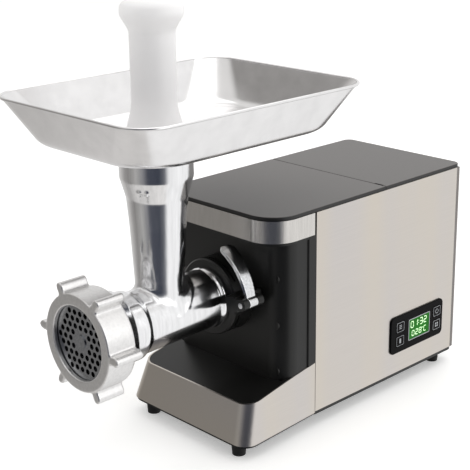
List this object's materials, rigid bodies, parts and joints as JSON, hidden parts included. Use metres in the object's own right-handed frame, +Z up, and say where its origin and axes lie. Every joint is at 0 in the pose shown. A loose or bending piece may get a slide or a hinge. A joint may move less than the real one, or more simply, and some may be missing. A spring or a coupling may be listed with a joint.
{
  "type": "electric meat grinder",
  "caption": "Countertop electric meat grinder with a metal feed tray, plunger, lug ring nut, screw head on a lever lock, steel-clad motor housing and a side display.",
  "frame": {"origin": "centre of the bounding box at floor level, under the rubber feet", "axes": "+Z up, -Y towards the grinding mouth, +X towards the control side"},
  "size_m": [0.1994, 0.4306, 0.396],
  "materials": {
    "stainless_panel": "brushed stainless sheet",
    "polished_band": "polished stainless strip",
    "black_moulding": "satin black ABS",
    "grey_cover": "fine-textured dark grey ABS",
    "rear_frame": "satin grey ABS",
    "rubber": "moulded rubber",
    "screw_steel": "zinc-plated steel",
    "cast_aluminium": "polished cast aluminium",
    "tray_aluminium": "polished pressed aluminium sheet",
    "hard_steel": "ground stainless steel",
    "pusher_plastic": "translucent white polypropylene",
    "white_bush": "white nylon",
    "bezel_black": "gloss black ABS",
    "key_black": "gloss black ABS",
    "display_green": "backlit green display",
    "board_green": "solder-masked board",
    "lamination": "laminated electrical steel",
    "copper": "enamelled copper",
    "brass": "brass",
    "bracket_alloy": "die-cast alloy",
    "carbon": "carbon",
    "shaft_steel": "ground steel",
    "gear_steel": "sintered steel",
    "gear_nylon": "moulded nylon",
    "case_plastic": "glass-filled nylon",
    "lever_steel": "polished steel strip"
  },
  "bodies": {
    "housing": {"base_pan": "black_moulding", "base_skin": "stainless_panel", "body_shell": "case_plastic", "brush_holders": "brass", "carbon_brushes": "carbon", "case_screws": "screw_steel", "collar_screws": "screw_steel", "control_bezel": "bezel_black", "cord_gland": "rubber", "display_board": "board_green", "display_window": "display_green", "feet": "rubber", "field_coils": "copper", "foot_shelf": "black_moulding", "front_shell": "black_moulding", "gear_axles": "shaft_steel", "gearbox_case": "case_plastic", "gearbox_cover": "case_plastic", "gearbox_screws": "screw_steel", "lever_pin": "lever_steel", "lid_hinge_pin": "shaft_steel", "locking_collar": "black_moulding", "motor_bearings": "shaft_steel", "motor_bolts": "screw_steel", "motor_front_bracket": "bracket_alloy", "motor_rear_bracket": "bracket_alloy", "motor_stator": "lamination", "output_bearing": "shaft_steel", "power_board": "board_green", "rear_cover": "rear_frame", "side_panel_left": "stainless_panel", "side_panel_right": "stainless_panel", "storage_bin": "case_plastic", "top_cover": "grey_cover", "trim_band": "polished_band"},
    "head": {"grinder_barrel": "cast_aluminium", "plate_key_pin": "hard_steel", "hole_plate": "hard_steel"},
    "ring_nut": {"ring_nut": "cast_aluminium"},
    "auger": {"auger": "cast_aluminium", "auger_stud": "hard_steel", "cross_knife": "hard_steel", "thrust_washer": "white_bush"},
    "tray": {"hopper_tray": "tray_aluminium"},
    "pusher": {"pusher": "pusher_plastic"},
    "lever": {"lock_lever": "lever_steel"},
    "plunger": {"lock_plunger": "shaft_steel"},
    "lid": {"storage_lid": "grey_cover"},
    "rotor": {"rotor_core": "lamination", "commutator": "copper", "rotor_shaft": "shaft_steel", "cooling_fan": "case_plastic"},
    "first_stage": {"first_gear": "gear_nylon"},
    "second_stage": {"second_gear": "gear_steel"},
    "output_drive": {"output_gear": "gear_steel", "output_shaft": "shaft_steel"},
    "key_1": {"key_1": "key_black"},
    "key_2": {"key_2": "key_black"},
    "key_3": {"key_3": "key_black"},
    "key_4": {"key_4": "key_black"}
  },
  "joints": [
    {"name": "head_release", "type": "slide", "parent": "housing", "child": "head", "axis": [0, -1, 0], "range_m": [0, 0.045]},
    {"name": "ring_nut_turn", "type": "hinge", "parent": "head", "child": "ring_nut", "pos_m": [0, -0.1937, 0.126], "axis": [0, 1, 0], "range_deg": [0, 720]},
    {"name": "rotor_spin", "type": "hinge", "parent": "housing", "child": "rotor", "pos_m": [-0.00329, 0.0573, 0.05403], "axis": [0, 1, 0], "continuous": true},
    {"name": "first_stage_spin", "type": "hinge", "parent": "housing", "child": "first_stage", "pos_m": [-0.01597, 0.0083, 0.08122], "axis": [0, 1, 0], "continuous": true},
    {"name": "second_stage_spin", "type": "hinge", "parent": "housing", "child": "second_stage", "pos_m": [0.02025, -0.0017, 0.09093], "axis": [0, 1, 0], "continuous": true},
    {"name": "output_spin", "type": "hinge", "parent": "housing", "child": "output_drive", "pos_m": [0, -0.0147, 0.126], "axis": [0, 1, 0], "continuous": true},
    {"name": "auger_spin", "type": "hinge", "parent": "head", "child": "auger", "pos_m": [0, -0.1227, 0.126], "axis": [0, 1, 0], "continuous": true},
    {"name": "tray_lift", "type": "slide", "parent": "head", "child": "tray", "axis": [0, 0, 1], "range_m": [0, 0.03]},
    {"name": "pusher_lift", "type": "slide", "parent": "tray", "child": "pusher", "axis": [0, 0, 1], "range_m": [0, 0.17]},
    {"name": "lock_lever_swing", "type": "hinge", "parent": "housing", "child": "lever", "pos_m": [0.05441, -0.0627, 0.13589], "axis": [0, 1, 0], "range_deg": [0, 80]},
    {"name": "lock_plunger_draw", "type": "slide", "parent": "housing", "child": "plunger", "axis": [0.9839, 0, 0.1788], "range_m": [0, 0.0011]},
    {"name": "storage_lid_hinge", "type": "hinge", "parent": "housing", "child": "lid", "pos_m": [0, 0.2098, 0.2038], "axis": [-1, 0, 0], "range_deg": [0, 80]},
    {"name": "key_1_press", "type": "slide", "parent": "housing", "child": "key_1", "axis": [-1, 0, 0], "range_m": [0, 0.0006], "stiffness_N_per_m": 800, "springref_m": -0.0008},
    {"name": "key_2_press", "type": "slide", "parent": "housing", "child": "key_2", "axis": [-1, 0, 0], "range_m": [0, 0.0006], "stiffness_N_per_m": 800, "springref_m": -0.0008},
    {"name": "key_3_press", "type": "slide", "parent": "housing", "child": "key_3", "axis": [-1, 0, 0], "range_m": [0, 0.0006], "stiffness_N_per_m": 800, "springref_m": -0.0008},
    {"name": "key_4_press", "type": "slide", "parent": "housing", "child": "key_4", "axis": [-1, 0, 0], "range_m": [0, 0.0006], "stiffness_N_per_m": 800, "springref_m": -0.0008}
  ],
  "couplings": [
    {"joint": "first_stage_spin", "follows": "rotor_spin", "ratio": -0.2},
    {"joint": "second_stage_spin", "follows": "rotor_spin", "ratio": 0.05},
    {"joint": "output_spin", "follows": "rotor_spin", "ratio": -0.0175},
    {"joint": "auger_spin", "follows": "rotor_spin", "ratio": -0.0175},
    {"joint": "lock_plunger_draw", "follows": "lock_lever_swing", "m_per_rad": 0.0007}
  ]
}
